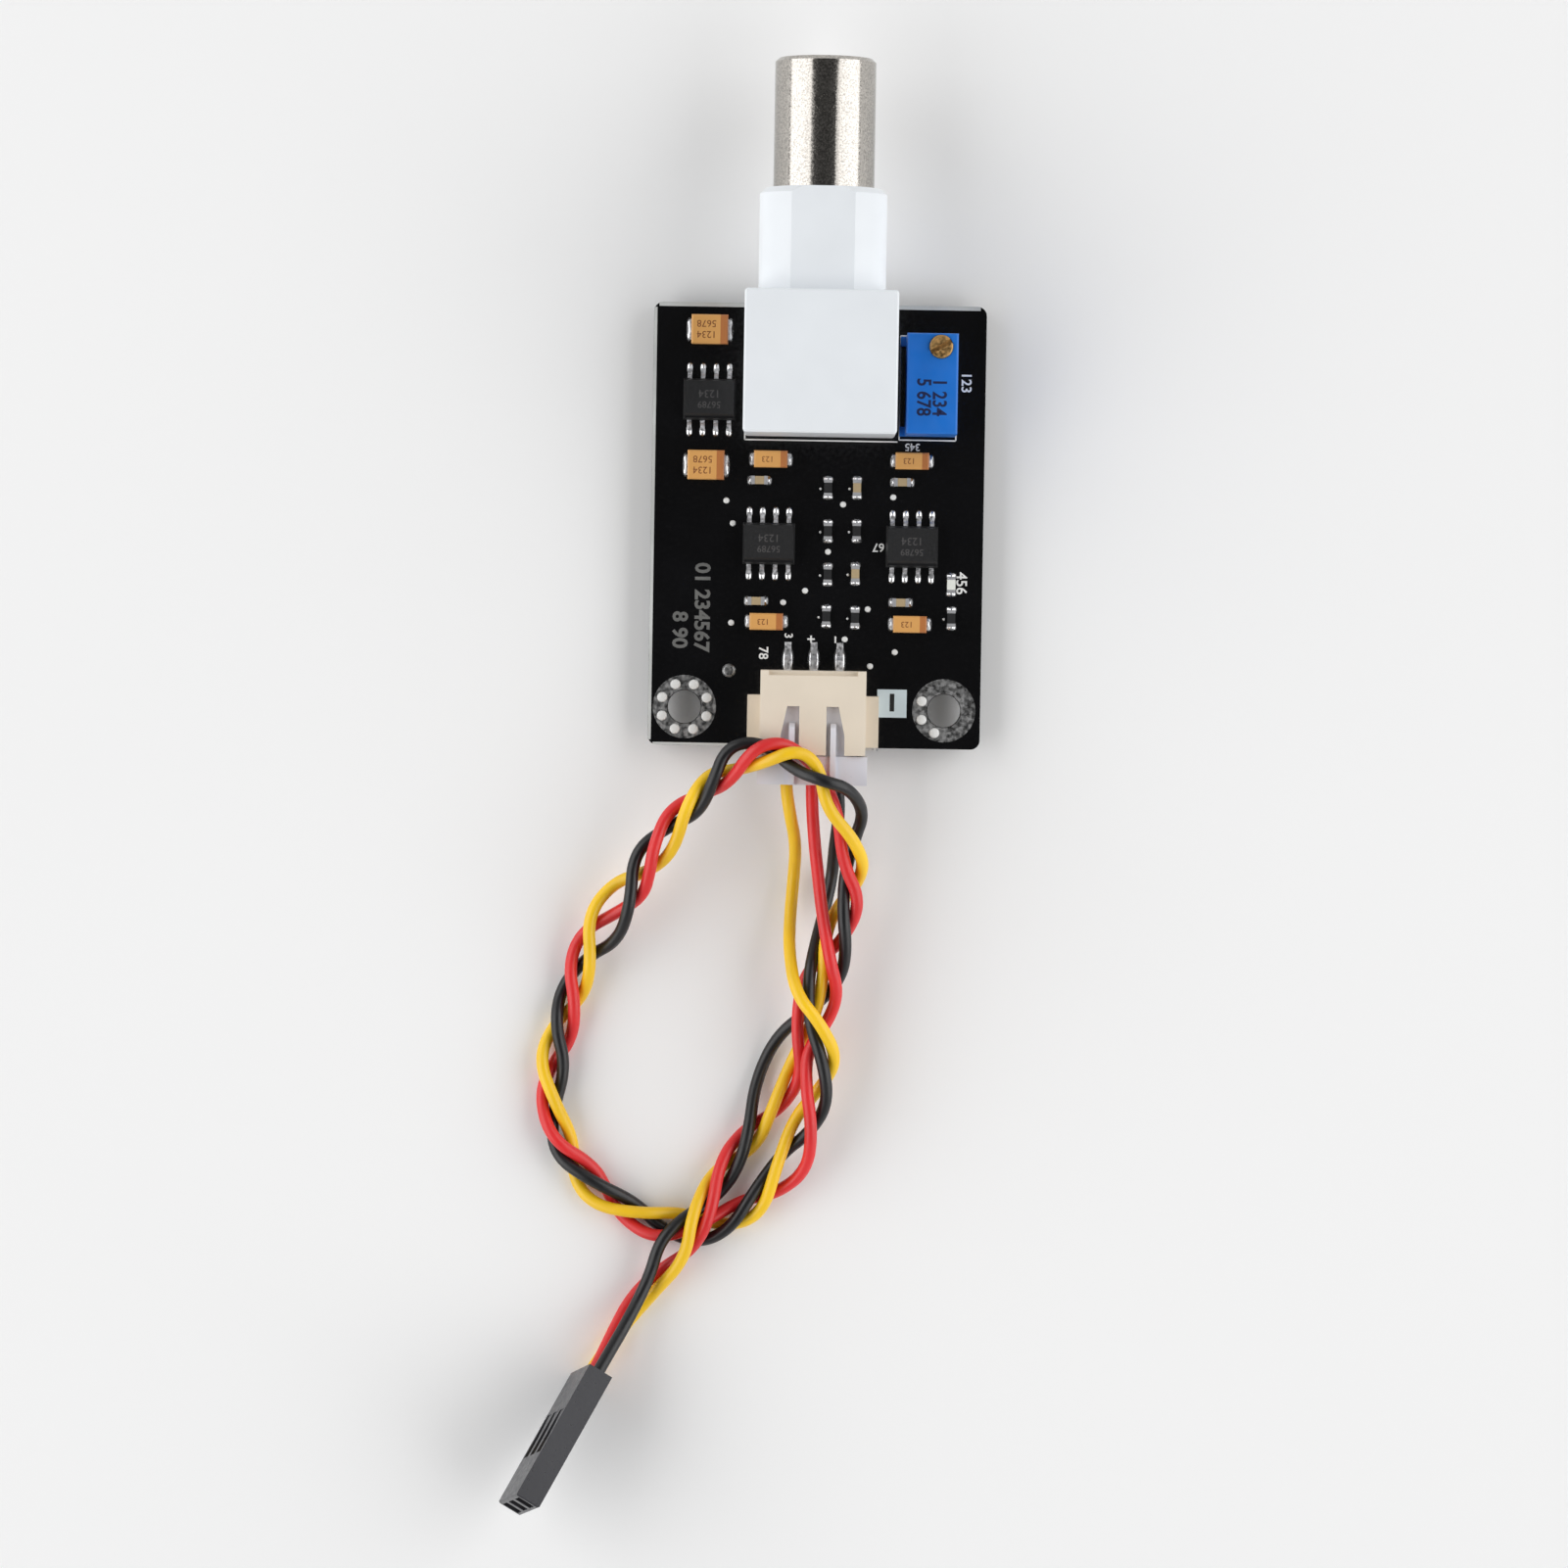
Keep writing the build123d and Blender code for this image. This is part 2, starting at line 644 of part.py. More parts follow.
def crimp_contact(pin_room, size, box_length, barrel_length, wire_radius):
    """A folded box for the pin at Y = 0 going back to -Y, then an eight-sided crimp for the wire."""
    box = Pos(0, -box_length / 2, 0) * Box(size, box_length, size)
    box -= Pos(0, -box_length / 2, 0) * Box(pin_room, box_length + 1, pin_room)
    barrel = prism(wire_radius + crimp_wall, box_length - 0.01, box_length + barrel_length, 8)
    barrel -= prism(wire_radius, box_length - 1, box_length + barrel_length + 1, 8)
    return box + Rot(90, 0, 0) * barrel


wire_radius = wire_diameter / 2
crimp_size = cavity_size - 0.1
plug_contacts = [
    on_board(header_x + x, nose_end - 0.5, pin_height)
    * crimp_contact(pin_size + 0.06, crimp_size, plug_box, plug_crimp, wire_radius)
    for x in pin_offsets
]
save(Compound(plug_contacts), "plug_contacts")

# Jumper housing, built lying along +X from its wire end and standing on its narrow side
jumper_height = 3 * jumper_pitch
jumper = block(0, jumper_length, 0, jumper_pitch, 0, jumper_height)
jumper = chamfer(jumper.edges().group_by(Axis.X)[-1], 0.15)
latch_inner = (jumper_pitch - jumper_hole) / 2
for n in range(3):
    z = (n + 0.5) * jumper_pitch
    jumper -= Pos(jumper_length / 2, jumper_pitch / 2, z) * Box(jumper_length + 1, jumper_hole, jumper_hole)
    window = block(window_start, window_start + window_length, -0.1, 0.5, z - 0.85, z + 0.85)
    latch_end = window_start + window_length - 1.5
    latch = polygon_solid(
        [(window_start, 0.08), (latch_end, 0.22), (latch_end, latch_inner), (window_start, 0.35)],
        Plane.XY,
        1.2,
    )
    jumper -= window
    jumper += Pos(0, 0, z) * latch
tilt = Rot(0, 0, jumper_heading) * Rot(0, -jumper_pitch_up, 0) * Rot(-jumper_lean, 0, 0)
lowest = (tilt * jumper).bounding_box().min.Z
corner = tilt * Pos(0, 0, jumper_height)
jumper_frame = Pos(
    jumper_x - corner.position.X, jumper_y + board_y - corner.position.Y, -lowest
) * tilt
save(jumper_frame * jumper, "jumper_housing")
jumper_contacts = [
    jumper_frame
    * Pos(jumper_length - jumper_inset, jumper_pitch / 2, (n + 0.5) * jumper_pitch)
    * Rot(0, 0, -90)
    * crimp_contact(jumper_pin_room, jumper_hole - 0.1, jumper_box, jumper_crimp, wire_radius)
    for n in range(3)
]
save(Compound(jumper_contacts), "jumper_contacts")


# The three wires. Each leaves the plug, makes one turn on the surface, climbs over the header
# and its plug, crosses its own first stretch and enters the jumper housing.
yellow_route = [
    (-2.2, -38.5, 6.2), (-1.5, -41.8, 4.1), (-1.7, -45.1, 1.9), (-2.0, -49.1, 2.7), (-2.0, -52.2, 4.6),
    (-1.3, -56.0, 6.9), (1.1, -58.8, 7.0), (2.9, -62.3, 5.2), (1.2, -65.3, 3.4), (-1.3, -68.3, 2.8),
    (-2.9, -73.0, 3.6), (-4.2, -77.8, 1.7), (-7.9, -79.2, 0.6), (-11.7, -77.8, 0.6),
    (-16.2, -77.8, 2.4), (-20.5, -77.2, 1.5), (-22.6, -74.7, 0.7), (-22.6, -70.9, 0.6),
    (-24.4, -67.2, 2.5), (-26.1, -63.1, 1.7), (-24.7, -59.7, 0.6), (-21.8, -56.9, 0.8),
    (-21.1, -53.7, 3.2), (-21.5, -48.9, 3.4), (-19.0, -45.7, 2.9), (-15.8, -44.7, 4.6),
    (-13.2, -42.6, 6.6), (-12.0, -37.9, 8.5), (-10.0, -34.9, 7.8), (-7.3, -34.6, 8.1),
    (-4.2, -33.6, 11.2), (-2.3, -32.7, 11.7), (-0.6, -32.9, 11.2), (0.7, -34.5, 10.8),
    (1.3, -38.0, 10.9), (4.1, -41.1, 9.6), (5.3, -44.2, 6.2), (2.3, -48.0, 4.6), (1.4, -50.8, 5.4),
    (1.4, -53.7, 5.5), (0.7, -58.2, 4.2), (-1.3, -62.2, 1.9), (-3.2, -66.8, 3.2), (-4.8, -71.4, 0.8),
    (-9.0, -73.5, 0.6), (-10.9, -77.4, 3.9), (-11.5, -82.0, 3.3), (-14.5, -85.5, 0.8),
    (-17.4, -88.9, 0.6),
]
red_route = [
    (0.0, -38.5, 6.2), (0.3, -41.9, 6.1), (0.7, -45.0, 5.8), (1.1, -48.2, 5.9), (1.9, -52.6, 7.1),
    (2.8, -56.0, 5.4), (1.9, -58.7, 4.1), (-0.1, -61.5, 4.5), (-0.2, -64.8, 5.5), (0.5, -69.2, 5.1),
    (0.1, -73.3, 3.1), (-2.9, -75.8, 1.2), (-6.2, -76.4, 0.9), (-10.2, -78.9, 2.1), (-14.4, -80.4, 1.8),
    (-17.8, -78.5, 0.6), (-19.3, -75.7, 0.6), (-20.7, -73.2, 1.3), (-24.7, -70.8, 2.7),
    (-26.0, -66.7, 0.9), (-24.8, -63.6, 0.6), (-22.9, -61.1, 0.7), (-22.6, -57.7, 2.3),
    (-23.3, -53.8, 2.1), (-22.1, -50.6, 1.8), (-18.5, -48.6, 3.0), (-16.1, -46.9, 4.9),
    (-15.5, -44.6, 6.3), (-15.1, -41.9, 7.2), (-13.7, -38.4, 6.5), (-10.3, -36.9, 6.6),
    (-7.9, -35.8, 9.2), (-5.8, -32.5, 11.4), (-3.2, -31.7, 11.0), (-0.8, -33.1, 9.7), (1.0, -35.3, 9.5),
    (2.5, -38.6, 9.3), (3.0, -43.4, 7.6), (4.9, -47.2, 7.0), (3.0, -51.1, 4.7), (1.0, -52.7, 3.6),
    (-0.8, -55.0, 3.7), (-1.2, -59.7, 4.4), (-0.5, -64.2, 3.0), (-2.6, -67.6, 1.2), (-6.1, -69.6, 0.6),
    (-8.4, -72.6, 1.9), (-9.1, -77.7, 3.7), (-10.8, -81.2, 2.2), (-14.1, -83.4, 0.7),
    (-16.8, -86.1, 0.9), (-18.4, -89.2, 2.0),
]
black_route = [
    (2.6, -38.7, 5.9), (2.2, -42.0, 3.8), (2.0, -45.0, 1.8), (1.4, -47.9, 2.2), (0.6, -51.0, 4.2),
    (-0.1, -54.3, 6.0), (0.0, -58.6, 5.2), (1.5, -62.8, 6.1), (2.0, -66.7, 4.8), (0.2, -69.7, 3.2),
    (-2.4, -71.8, 1.6), (-4.9, -75.3, 2.3), (-7.3, -79.3, 2.2), (-10.5, -80.8, 0.7),
    (-14.1, -79.4, 0.6), (-16.4, -76.9, 0.8), (-20.6, -74.8, 2.6), (-24.5, -72.4, 1.4),
    (-24.7, -68.4, 0.6), (-23.4, -63.7, 1.7), (-24.5, -59.8, 2.4), (-24.1, -56.2, 0.6),
    (-21.6, -53.1, 1.2), (-18.5, -51.4, 3.4), (-17.3, -47.7, 5.8), (-17.1, -42.6, 5.6),
    (-13.6, -40.1, 5.5), (-10.7, -38.7, 7.7), (-9.3, -35.1, 9.7), (-8.4, -32.8, 9.7),
    (-6.6, -31.8, 10.0), (-4.1, -32.3, 9.8), (-1.9, -34.4, 10.8), (1.0, -35.4, 12.4),
    (3.5, -36.1, 11.0), (5.0, -38.4, 7.8), (4.1, -41.1, 6.5), (3.2, -44.4, 6.0), (3.1, -48.1, 7.2),
    (3.5, -51.7, 6.2), (3.0, -54.7, 4.6), (0.3, -57.7, 2.8), (-3.1, -60.4, 1.1), (-5.1, -65.0, 0.6),
    (-5.6, -69.6, 2.6), (-6.6, -73.4, 1.8), (-8.8, -76.4, 0.8), (-12.1, -78.3, 2.9),
    (-14.1, -80.5, 3.2), (-15.0, -84.0, 2.3), (-17.0, -88.1, 3.6),
]


def wire(points):
    """A round tube on straight runs joined by arcs that are as large as the runs allow."""
    places = [Vector(*p) for p in points]
    radii = []
    for before, here, after in zip(places, places[1:], places[2:]):
        turn = radians((here - before).get_angle(after - here))
        run = min((here - before).length, (after - here).length)
        radii.append(0.45 * run / tan(turn / 2))
    path = FilletPolyline(*places, radius=radii)
    tube = sweep(Plane(path @ 0, z_dir=path % 0) * Circle(wire_radius), path=path)
    section = pi * wire_radius**2
    print("length", round(path.length, 1), "volume ratio", round(tube.volume / (section * path.length), 4))
    print("radii", [round(r, 1) for r in radii])
    return tube


wire_in_plug = 2.4
rear_entry = -0.9
wire_in_jumper = 3.0
for n, (name, route) in enumerate(
    [("wire_yellow", yellow_route), ("wire_red", red_route), ("wire_black", black_route)]
):
    start = [
        (header_x + pin_offsets[n], board_y + tail_end + wire_in_plug, board_top + pin_height),
        (header_x + pin_offsets[n], board_y + tail_end, board_top + pin_height),
    ]
    cavity = Pos(0, jumper_pitch / 2, (n + 0.5) * jumper_pitch)
    finish = [tuple((jumper_frame * cavity * Pos(x, 0, 0)).position) for x in (rear_entry, wire_in_jumper)]
    print(name)
    save(wire(start + route + finish), name)
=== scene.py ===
import math

import bmesh
import bpy
from mathutils import Matrix, Vector


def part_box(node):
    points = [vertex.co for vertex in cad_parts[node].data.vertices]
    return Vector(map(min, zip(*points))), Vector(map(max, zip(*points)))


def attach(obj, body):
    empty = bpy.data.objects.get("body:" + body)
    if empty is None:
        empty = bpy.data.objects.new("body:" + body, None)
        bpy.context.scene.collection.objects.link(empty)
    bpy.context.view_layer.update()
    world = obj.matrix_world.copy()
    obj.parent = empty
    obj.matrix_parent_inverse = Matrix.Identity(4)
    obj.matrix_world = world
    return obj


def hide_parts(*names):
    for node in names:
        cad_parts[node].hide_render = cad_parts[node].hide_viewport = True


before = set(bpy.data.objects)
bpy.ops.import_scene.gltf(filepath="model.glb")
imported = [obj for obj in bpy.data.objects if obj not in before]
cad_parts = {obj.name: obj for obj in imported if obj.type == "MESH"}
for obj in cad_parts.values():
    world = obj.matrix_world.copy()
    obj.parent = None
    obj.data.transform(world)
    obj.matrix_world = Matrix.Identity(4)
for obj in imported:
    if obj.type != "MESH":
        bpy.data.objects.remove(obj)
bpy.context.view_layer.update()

MM = 0.001
MAIN = "board_assembly"

board_low, board_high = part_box("circuit_board")
BOARD_CENTRE = (board_low + board_high) / 2
BOARD_TOP = board_high.z


def on_board(x, y, h=0.0):
    """A place in metres, from millimetres measured from the middle of the board's upper face."""
    return Vector((BOARD_CENTRE.x + x * MM, BOARD_CENTRE.y + y * MM, BOARD_TOP + h * MM))


def srgb(red, green, blue):
    """A colour as a picture shows it, 0 to 255, turned into the linear colour that shaders take."""
    shares = [c / 255 for c in (red, green, blue)]
    linear = [c / 12.92 if c < 0.0404 else ((c + 0.055) / 1.055) ** 2.4 for c in shares]
    return (*linear, 1)


# Camera: high above the board and nearly straight down, turned by about one degree
CAMERA_PLACE = Vector((-0.36, -19.3, 593.2)) * MM
CAMERA_TARGET = Vector((-2.77, -36.0, 3.2)) * MM
CAMERA_ROLL = math.radians(0.95)
CAMERA_LENS = 140.6


def make_camera():
    """The photograph's camera."""
    data = bpy.data.cameras.new("camera")
    data.lens = CAMERA_LENS
    data.sensor_width = 36
    data.clip_start = 0.01
    camera = bpy.data.objects.new("camera", data)
    bpy.context.scene.collection.objects.link(camera)
    back = (CAMERA_PLACE - CAMERA_TARGET).normalized()
    up = Vector((-math.sin(CAMERA_ROLL), math.cos(CAMERA_ROLL), 0))
    right = up.cross(back).normalized()
    up = back.cross(right)
    turn = Matrix((right, up, back)).transposed()
    camera.matrix_world = Matrix.Translation(CAMERA_PLACE) @ turn.to_4x4()
    bpy.context.scene.camera = camera


make_camera()


# Materials
def shader(name, colour, roughness=0.5, metallic=0.0):
    """A principled material, with its node tree and its shader node."""
    made = bpy.data.materials.new(name)
    made.use_nodes = True
    tree = made.node_tree
    principled = tree.nodes["Principled BSDF"]
    principled.inputs["Base Color"].default_value = colour
    principled.inputs["Roughness"].default_value = roughness
    principled.inputs["Metallic"].default_value = metallic
    made.diffuse_color = colour
    return made, tree, principled


def node(tree, kind, **values):
    """A new shader node; each value goes to the input of that name, or else to the setting."""
    made = tree.nodes.new(kind)
    for key, value in values.items():
        if key in made.inputs:
            made.inputs[key].default_value = value
        else:
            setattr(made, key, value)
    return made


def noise(tree, scale, detail=3.0, stretch=(1, 1, 1)):
    """Noise in the part's own frame; the scale counts its waves in a metre."""
    place = node(tree, "ShaderNodeTexCoord")
    mapping = node(tree, "ShaderNodeMapping")
    mapping.inputs["Scale"].default_value = stretch
    texture = node(tree, "ShaderNodeTexNoise", Scale=scale, Detail=detail)
    tree.links.new(place.outputs["Object"], mapping.inputs["Vector"])
    tree.links.new(mapping.outputs["Vector"], texture.inputs["Vector"])
    return texture.outputs["Fac"]


def ramp(tree, source, stops, smooth=True):
    """Turns a number into a colour by the given stops."""
    made = node(tree, "ShaderNodeValToRGB")
    elements = made.color_ramp.elements
    made.color_ramp.interpolation = "LINEAR" if smooth else "CONSTANT"
    while len(elements) < len(stops):
        elements.new(0.5)
    for element, (place, colour) in zip(elements, stops):
        element.position = place
        element.color = colour
    tree.links.new(source, made.inputs["Fac"])
    return made.outputs["Color"]


def bump(tree, principled, source, height):
    """Raises the surface by a height in millimetres."""
    made = node(tree, "ShaderNodeBump", Strength=1.0, Distance=height * MM)
    tree.links.new(source, made.inputs["Height"])
    tree.links.new(made.outputs["Normal"], principled.inputs["Normal"])


def grey(value):
    return (value, value, value, 1)


def moulded(name, colour, roughness, grain=1500, spread=0.06, height=0.004, soft=0.0):
    """Moulded plastic: slight cloudiness in its colour, and a fine grain in its gloss and surface."""
    made, tree, principled = shader(name, colour, roughness)
    cloud = noise(tree, 180, 2)
    low = tuple(c * (1 - spread) for c in colour[:3]) + (1,)
    high = tuple(min(1, c * (1 + spread)) for c in colour[:3]) + (1,)
    tree.links.new(ramp(tree, cloud, [(0.3, low), (0.7, high)]), principled.inputs["Base Color"])
    fine = noise(tree, grain, 4)
    smooth, rough = max(0.03, roughness - 0.08), min(1, roughness + 0.08)
    gloss = ramp(tree, fine, [(0.3, grey(smooth)), (0.7, grey(rough))])
    tree.links.new(gloss, principled.inputs["Roughness"])
    bump(tree, principled, fine, height)
    if soft:
        principled.inputs["Subsurface Weight"].default_value = soft
        principled.inputs["Subsurface Radius"].default_value = (1, 1, 1)
        principled.inputs["Subsurface Scale"].default_value = 0.6 * MM
    return made


def metal(name, colour, roughness, grain=4000, spread=0.15, height=0.003, stretch=(1, 1, 1)):
    """Plated or turned metal: uneven gloss, with a fine grain that can run along one direction."""
    made, tree, principled = shader(name, colour, roughness, 1.0)
    fine = noise(tree, grain, 5, stretch)
    low = tuple(c * (1 - spread) for c in colour[:3]) + (1,)
    tree.links.new(ramp(tree, fine, [(0.35, low), (0.6, colour)]), principled.inputs["Base Color"])
    smooth, rough = max(0.04, roughness * 0.6), min(1, roughness * 1.5)
    gloss = ramp(tree, fine, [(0.3, grey(smooth)), (0.7, grey(rough))])
    tree.links.new(gloss, principled.inputs["Roughness"])
    bump(tree, principled, fine, height)
    return made


def dress(material, *names):
    """Gives a material to nodes of the frame."""
    for name in names:
        for slot in bpy.data.objects[name].material_slots:
            slot.material = material


def by_length(tree, axis, stops):
    """A colour that depends on the place along one side of a piece, from 0 to 1."""
    place = node(tree, "ShaderNodeTexCoord")
    split = node(tree, "ShaderNodeSeparateXYZ")
    tree.links.new(place.outputs["Generated"], split.inputs["Vector"])
    return ramp(tree, split.outputs[axis], stops, smooth=False)


def fired(name, axis, body, end, share):
    """A fired chip: a coloured body between two tinned ends, told apart by the place along it."""
    made, tree, principled = shader(name, body, 0.45)
    edge = [(0.0, end), (share, body), (1 - share, end)]
    tree.links.new(by_length(tree, axis, edge), principled.inputs["Base Color"])
    shine = by_length(tree, axis, [(0.0, grey(1)), (share, grey(0)), (1 - share, grey(1))])
    tree.links.new(shine, principled.inputs["Metallic"])
    bump(tree, principled, noise(tree, 5000, 4), 0.01)
    return made


SILK_WHITE = moulded("silk_white", srgb(232, 232, 230), 0.6, grain=6000, height=0.002)
TIN = metal("tin", (0.80, 0.80, 0.82, 1), 0.42)
SOLDER = metal("solder", (0.86, 0.86, 0.87, 1), 0.22, grain=2500, spread=0.25, height=0.012)
GOLD = metal("gold", (0.80, 0.58, 0.25, 1), 0.25)
BOARD = moulded("board_mask", (0.0025, 0.0025, 0.003, 1), 0.16, grain=2500, spread=0.3, height=0.0015)


def wire_material(name, colour):
    """Soft extruded insulation."""
    return moulded(name, colour, 0.36, grain=900, spread=0.1, height=0.008)


WIRE_YELLOW = wire_material("insulation_yellow", srgb(246, 198, 30))
WIRE_RED = wire_material("insulation_red", srgb(222, 44, 46))
WIRE_BLACK = wire_material("insulation_black", srgb(24, 24, 26))


# The three wires: the same points as the tubes in the solids, in millimetres
WIRE_DIAMETER = 1.2
WIRE_START_Y = (-33.5, -35.9)
WIRE_START_Z = 6.3
ROUTES = {
    "yellow": [
        (-2.2, -38.5, 6.2), (-1.5, -41.8, 4.1), (-1.7, -45.1, 1.9), (-2.0, -49.1, 2.7), (-2.0, -52.2, 4.6),
        (-1.3, -56.0, 6.9), (1.1, -58.8, 7.0), (2.9, -62.3, 5.2), (1.2, -65.3, 3.4), (-1.3, -68.3, 2.8),
        (-2.9, -73.0, 3.6), (-4.2, -77.8, 1.7), (-7.9, -79.2, 0.6), (-11.7, -77.8, 0.6),
        (-16.2, -77.8, 2.4), (-20.5, -77.2, 1.5), (-22.6, -74.7, 0.7), (-22.6, -70.9, 0.6),
        (-24.4, -67.2, 2.5), (-26.1, -63.1, 1.7), (-24.7, -59.7, 0.6), (-21.8, -56.9, 0.8),
        (-21.1, -53.7, 3.2), (-21.5, -48.9, 3.4), (-19.0, -45.7, 2.9), (-15.8, -44.7, 4.6),
        (-13.2, -42.6, 6.6), (-12.0, -37.9, 8.5), (-10.0, -34.9, 7.8), (-7.3, -34.6, 8.1),
        (-4.2, -33.6, 11.2), (-2.3, -32.7, 11.7), (-0.6, -32.9, 11.2), (0.7, -34.5, 10.8),
        (1.3, -38.0, 10.9), (4.1, -41.1, 9.6), (5.3, -44.2, 6.2), (2.3, -48.0, 4.6), (1.4, -50.8, 5.4),
        (1.4, -53.7, 5.5), (0.7, -58.2, 4.2), (-1.3, -62.2, 1.9), (-3.2, -66.8, 3.2), (-4.8, -71.4, 0.8),
        (-9.0, -73.5, 0.6), (-10.9, -77.4, 3.9), (-11.5, -82.0, 3.3), (-14.5, -85.5, 0.8),
        (-17.4, -88.9, 0.6),
    ],
    "red": [
        (0.0, -38.5, 6.2), (0.3, -41.9, 6.1), (0.7, -45.0, 5.8), (1.1, -48.2, 5.9), (1.9, -52.6, 7.1),
        (2.8, -56.0, 5.4), (1.9, -58.7, 4.1), (-0.1, -61.5, 4.5), (-0.2, -64.8, 5.5), (0.5, -69.2, 5.1),
        (0.1, -73.3, 3.1), (-2.9, -75.8, 1.2), (-6.2, -76.4, 0.9), (-10.2, -78.9, 2.1), (-14.4, -80.4, 1.8),
        (-17.8, -78.5, 0.6), (-19.3, -75.7, 0.6), (-20.7, -73.2, 1.3), (-24.7, -70.8, 2.7),
        (-26.0, -66.7, 0.9), (-24.8, -63.6, 0.6), (-22.9, -61.1, 0.7), (-22.6, -57.7, 2.3),
        (-23.3, -53.8, 2.1), (-22.1, -50.6, 1.8), (-18.5, -48.6, 3.0), (-16.1, -46.9, 4.9),
        (-15.5, -44.6, 6.3), (-15.1, -41.9, 7.2), (-13.7, -38.4, 6.5), (-10.3, -36.9, 6.6),
        (-7.9, -35.8, 9.2), (-5.8, -32.5, 11.4), (-3.2, -31.7, 11.0), (-0.8, -33.1, 9.7), (1.0, -35.3, 9.5),
        (2.5, -38.6, 9.3), (3.0, -43.4, 7.6), (4.9, -47.2, 7.0), (3.0, -51.1, 4.7), (1.0, -52.7, 3.6),
        (-0.8, -55.0, 3.7), (-1.2, -59.7, 4.4), (-0.5, -64.2, 3.0), (-2.6, -67.6, 1.2), (-6.1, -69.6, 0.6),
        (-8.4, -72.6, 1.9), (-9.1, -77.7, 3.7), (-10.8, -81.2, 2.2), (-14.1, -83.4, 0.7),
        (-16.8, -86.1, 0.9), (-18.4, -89.2, 2.0),
    ],
    "black": [
        (2.6, -38.7, 5.9), (2.2, -42.0, 3.8), (2.0, -45.0, 1.8), (1.4, -47.9, 2.2), (0.6, -51.0, 4.2),
        (-0.1, -54.3, 6.0), (0.0, -58.6, 5.2), (1.5, -62.8, 6.1), (2.0, -66.7, 4.8), (0.2, -69.7, 3.2),
        (-2.4, -71.8, 1.6), (-4.9, -75.3, 2.3), (-7.3, -79.3, 2.2), (-10.5, -80.8, 0.7),
        (-14.1, -79.4, 0.6), (-16.4, -76.9, 0.8), (-20.6, -74.8, 2.6), (-24.5, -72.4, 1.4),
        (-24.7, -68.4, 0.6), (-23.4, -63.7, 1.7), (-24.5, -59.8, 2.4), (-24.1, -56.2, 0.6),
        (-21.6, -53.1, 1.2), (-18.5, -51.4, 3.4), (-17.3, -47.7, 5.8), (-17.1, -42.6, 5.6),
        (-13.6, -40.1, 5.5), (-10.7, -38.7, 7.7), (-9.3, -35.1, 9.7), (-8.4, -32.8, 9.7),
        (-6.6, -31.8, 10.0), (-4.1, -32.3, 9.8), (-1.9, -34.4, 10.8), (1.0, -35.4, 12.4),
        (3.5, -36.1, 11.0), (5.0, -38.4, 7.8), (4.1, -41.1, 6.5), (3.2, -44.4, 6.0), (3.1, -48.1, 7.2),
        (3.5, -51.7, 6.2), (3.0, -54.7, 4.6), (0.3, -57.7, 2.8), (-3.1, -60.4, 1.1), (-5.1, -65.0, 0.6),
        (-5.6, -69.6, 2.6), (-6.6, -73.4, 1.8), (-8.8, -76.4, 0.8), (-12.1, -78.3, 2.9),
        (-14.1, -80.5, 3.2), (-15.0, -84.0, 2.3), (-17.0, -88.1, 3.6),
    ],
}


def wire_curve(colour, start_x, finish, material):
    """One wire as a smooth curve through the route's listed points."""
    start = [(start_x, y, WIRE_START_Z) for y in WIRE_START_Y]
    points = start + ROUTES[colour] + finish
    name = "insulated_" + colour
    data = bpy.data.curves.new(name, "CURVE")
    data.dimensions = "3D"
    data.bevel_depth = WIRE_DIAMETER / 2 * MM
    data.bevel_resolution = 5
    data.resolution_u = 10
    data.use_fill_caps = True
    spline = data.splines.new("NURBS")
    spline.points.add(len(points) - 1)
    for point, place in zip(spline.points, points):
        point.co = (place[0] * MM, place[1] * MM, place[2] * MM, 1)
    spline.order_u = 3
    spline.use_endpoint_u = True
    data.materials.append(material)
    piece = bpy.data.objects.new(name, data)
    bpy.context.scene.collection.objects.link(piece)
    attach(piece, MAIN)
    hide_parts("wire_" + colour)


wire_curve("yellow", -2.6, [(-20.69, -93.28, 1.02), (-22.43, -96.40, 2.30)], WIRE_YELLOW)
wire_curve("red", -0.1, [(-20.00, -92.67, 3.39), (-21.77, -95.87, 4.70)], WIRE_RED)
wire_curve("black", 2.4, [(-19.31, -92.07, 5.76), (-21.08, -95.27, 7.10)], WIRE_BLACK)


# Finishes of the solids
SOCKET_WHITE = moulded(
    "socket_white", srgb(233, 237, 241), 0.38, grain=1200, spread=0.02, height=0.006, soft=0.05
)
# The barrel's nickel is set darker than the plating's own colour. This is painted shade standing in for the
# dark surroundings that the barrel's sides reflect.
NICKEL = metal("nickel", (0.56, 0.53, 0.49, 1), 0.15, grain=6000, spread=0.45, height=0.0012)
INSULATOR = moulded("insulator", srgb(238, 236, 228), 0.45, soft=0.1)
BLUE = moulded("trimmer_blue", srgb(24, 112, 205), 0.42, grain=900, spread=0.08, height=0.008)
TRIMMER_BASE = moulded("trimmer_base", srgb(34, 44, 70), 0.5)
BRASS = metal("brass", (0.62, 0.38, 0.15, 1), 0.5, grain=3000, spread=0.35, height=0.008)
SEAL = moulded("seal", srgb(170, 62, 32), 0.55)
ROTOR = moulded("rotor", srgb(222, 214, 196), 0.45)
CERAMIC = moulded("ceramic", srgb(226, 222, 212), 0.6)
HEADER = moulded("header", srgb(228, 216, 198), 0.42, grain=1000, spread=0.03, height=0.006, soft=0.06)
PLUG = moulded("plug", srgb(226, 226, 234), 0.35, grain=1000, spread=0.02, height=0.004, soft=0.08)
CHIP_BLACK = moulded("chip_black", srgb(30, 30, 31), 0.42, grain=5000, spread=0.12, height=0.012)
JUMPER = moulded("jumper", srgb(58, 58, 62), 0.34, grain=1800, spread=0.08, height=0.008)

